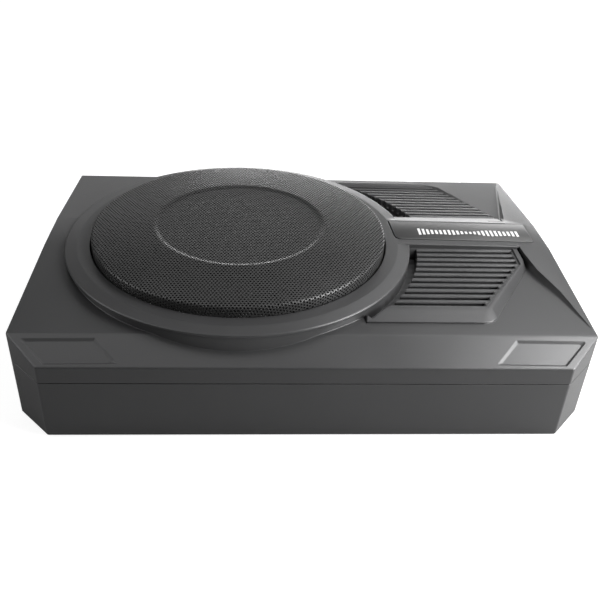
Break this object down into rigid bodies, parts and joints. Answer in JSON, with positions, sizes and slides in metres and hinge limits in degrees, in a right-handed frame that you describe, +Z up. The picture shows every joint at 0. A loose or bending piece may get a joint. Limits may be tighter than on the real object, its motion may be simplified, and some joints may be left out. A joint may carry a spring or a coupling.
{
  "type": "powered under-seat car subwoofer",
  "caption": "Low cast-metal powered car subwoofer with a round domed grille, finned vents beside it, a shallow driver and a built-in amplifier.",
  "frame": {"origin": "on the floor plane under the feet, at the middle of the case in plan", "axes": "+X towards the control end, -Y towards the sloping front edge, +Z up out of the grille"},
  "size_m": [0.345, 0.243, 0.0784],
  "materials": {
    "case_paint": "dark anthracite fine-textured powder coat on cast metal",
    "grille_paint": "black coated perforated steel",
    "badge_finish": "dark satin plate",
    "foam": "closed-cell foam",
    "cone_paper": "black coated paper cone",
    "rubber": "matte rubber",
    "coil_cloth": "resin-treated cloth",
    "copper": "enamelled copper",
    "zinc_steel": "zinc plated steel",
    "ferrite": "pressed ferrite",
    "basket_paint": "black painted pressed steel",
    "black_plastic": "moulded plastic",
    "board_green": "solder-masked circuit board",
    "gold_plate": "gold plated",
    "sleeve": "shrink sleeve",
    "fuse_amber": "translucent fuse plastic",
    "led_lens": "tinted lens"
  },
  "bodies": {
    "root": {"lower_housing": "case_paint", "top_cover": "case_paint", "housing_gasket": "foam", "badge_plate": "badge_finish", "grille": "grille_paint", "grille_gasket": "foam", "woofer_basket": "basket_paint", "woofer_gasket": "foam", "top_plate": "zinc_steel", "ferrite_magnet": "ferrite", "t_yoke": "zinc_steel", "terminal_strip": "black_plastic", "speaker_cable": "rubber", "amplifier_board": "board_green", "toroid_transformer": "copper", "filter_capacitor_1": "sleeve", "filter_capacitor_2": "sleeve", "power_transistor_1": "black_plastic", "power_transistor_2": "black_plastic", "control_panel": "black_plastic", "gain_pot": "zinc_steel", "crossover_pot": "zinc_steel", "bass_boost_pot": "zinc_steel", "phase_switch_body": "zinc_steel", "rca_jack_block": "black_plastic", "rca_collar_left": "gold_plate", "rca_collar_right": "gold_plate", "remote_socket": "black_plastic", "high_level_socket": "black_plastic", "power_connector": "black_plastic", "fuse_holder": "black_plastic", "blade_fuse": "fuse_amber", "status_led": "led_lens", "panel_screw_1": "zinc_steel", "panel_screw_2": "zinc_steel", "woofer_screw_1": "zinc_steel", "case_screw_1": "zinc_steel", "rubber_foot_1": "rubber", "woofer_screw_2": "zinc_steel", "case_screw_2": "zinc_steel", "rubber_foot_2": "rubber", "woofer_screw_3": "zinc_steel", "case_screw_3": "zinc_steel", "rubber_foot_3": "rubber", "woofer_screw_4": "zinc_steel", "case_screw_4": "zinc_steel", "rubber_foot_4": "rubber"},
    "cone_assembly": {"cone": "cone_paper", "surround": "rubber", "dust_cap": "cone_paper", "coil_former": "coil_cloth", "voice_coil": "copper", "spider": "coil_cloth", "tinsel_lead_front": "copper", "tinsel_lead_rear": "copper"},
    "gain_control": {"gain_knob": "black_plastic"},
    "crossover_control": {"crossover_knob": "black_plastic"},
    "bass_boost_control": {"bass_boost_knob": "black_plastic"},
    "phase_slider": {"phase_switch_slider": "black_plastic"}
  },
  "joints": [
    {"name": "cone_travel", "type": "slide", "parent": "root", "child": "cone_assembly", "axis": [0, 0, 1], "range_m": [-0.005, 0.005], "stiffness_N_per_m": 2500, "deforming": ["surround", "spider", "tinsel_lead_front", "tinsel_lead_rear"]},
    {"name": "gain_turn", "type": "hinge", "parent": "root", "child": "gain_control", "pos_m": [0.169, -0.06, 0.021], "axis": [1, 0, 0], "range_deg": [-140, 140]},
    {"name": "crossover_turn", "type": "hinge", "parent": "root", "child": "crossover_control", "pos_m": [0.169, -0.042, 0.021], "axis": [1, 0, 0], "range_deg": [-140, 140]},
    {"name": "bass_boost_turn", "type": "hinge", "parent": "root", "child": "bass_boost_control", "pos_m": [0.169, -0.024, 0.021], "axis": [1, 0, 0], "range_deg": [-140, 140]},
    {"name": "phase_slide", "type": "slide", "parent": "root", "child": "phase_slider", "axis": [0, 1, 0], "range_m": [0, 0.003]}
  ]
}
